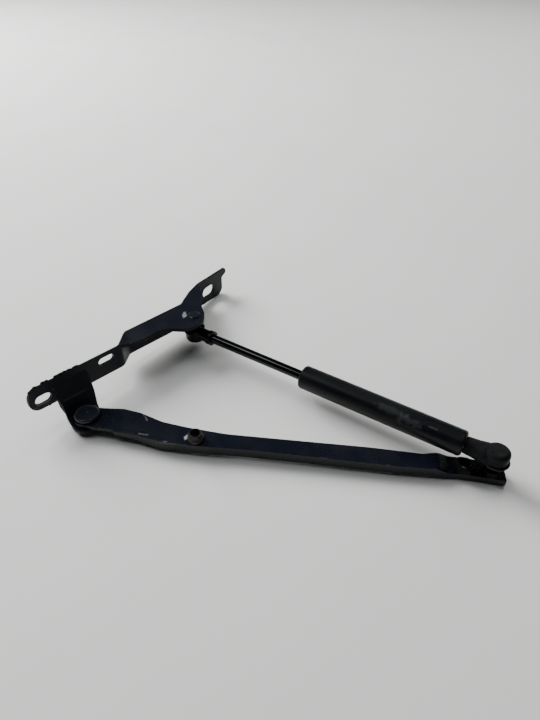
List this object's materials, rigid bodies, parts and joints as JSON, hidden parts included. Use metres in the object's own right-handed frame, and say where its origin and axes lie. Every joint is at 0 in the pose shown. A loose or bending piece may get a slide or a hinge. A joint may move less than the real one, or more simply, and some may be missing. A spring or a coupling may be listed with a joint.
{
  "type": "lid hinge with gas strut stay",
  "caption": "Pressed steel lid hinge held open by a gas strut: slotted wall bracket, long pivoting arm with a turned-down edge, and a strut on ball studs.",
  "frame": {"origin": "Centre of the bracket's near bolt slot, in the outer face of the bracket's wall.", "axes": "+X along the wall from the near slot towards the strut's anchor. +Y is the outward normal of the wall's outer face, towards the body panel it is bolted to. +Z is the direction of every hinge axis, up in the pose the part is stored in. The stored pose is fully open."},
  "size_m": [0.223, 0.3122, 0.0391],
  "materials": {
    "black_paint": "glossy black dip paint on pressed steel",
    "tube_paint": "satin black paint, scuffed and dusty",
    "rod_black": "gloss black nitrided rod",
    "fitting_black": "satin black steel fitting",
    "socket_plastic": "moulded glass-filled plastic",
    "rivet_steel": "black coated steel, worn at the edges",
    "nut_steel": "plain steel under worn paint",
    "stud_steel": "plain turned steel",
    "clip_steel": "dark spring steel",
    "washer_steel": "plain steel",
    "bush_bronze": "bronze bush",
    "seal_rubber": "black rubber",
    "guide_plastic": "dark plastic",
    "piston_aluminium": "turned aluminium"
  },
  "bodies": {
    "bracket": {"hinge_bracket": "black_paint", "pivot_rivet": "rivet_steel", "pivot_washer_upper": "washer_steel", "pivot_washer_lower": "washer_steel", "bracket_ball_stud": "stud_steel"},
    "arm": {"hinge_arm": "black_paint", "pivot_bush": "bush_bronze", "front_weld_nut": "nut_steel", "rear_weld_nut": "nut_steel", "ball_stud_shank": "stud_steel"},
    "rod": {"rod_end_socket": "fitting_black", "rod_end_clip": "clip_steel", "piston_rod": "rod_black", "piston": "piston_aluminium", "piston_ring": "seal_rubber", "piston_washer": "washer_steel", "piston_nut": "nut_steel"},
    "tube": {"cylinder_tube": "tube_paint", "rod_wiper": "seal_rubber", "rod_guide": "guide_plastic", "rod_seal": "seal_rubber", "seal_support": "guide_plastic", "end_plug": "piston_aluminium", "end_seal": "seal_rubber", "tube_end_socket": "socket_plastic", "tube_end_clip": "clip_steel", "arm_ball_stud": "stud_steel"}
  },
  "joints": [
    {"name": "arm_pivot", "type": "hinge", "parent": "bracket", "child": "arm", "pos_m": [0.0195, -0.025, 0], "axis": [0, 0, 1], "range_deg": [0, 38]},
    {"name": "rod_pivot", "type": "hinge", "parent": "bracket", "child": "rod", "pos_m": [0.1368, -0.0114, -0.0038], "axis": [0, 0, 1], "range_deg": [0, 47.31]},
    {"name": "tube_slide", "type": "slide", "parent": "rod", "child": "tube", "axis": [0.1978, -0.9802, 0], "range_m": [-0.06783, 0]}
  ],
  "couplings": [
    {"joint": "rod_pivot", "follows": "arm_pivot", "ratio": 1.245},
    {"joint": "tube_slide", "follows": "arm_pivot", "m_per_rad": -0.10227}
  ]
}
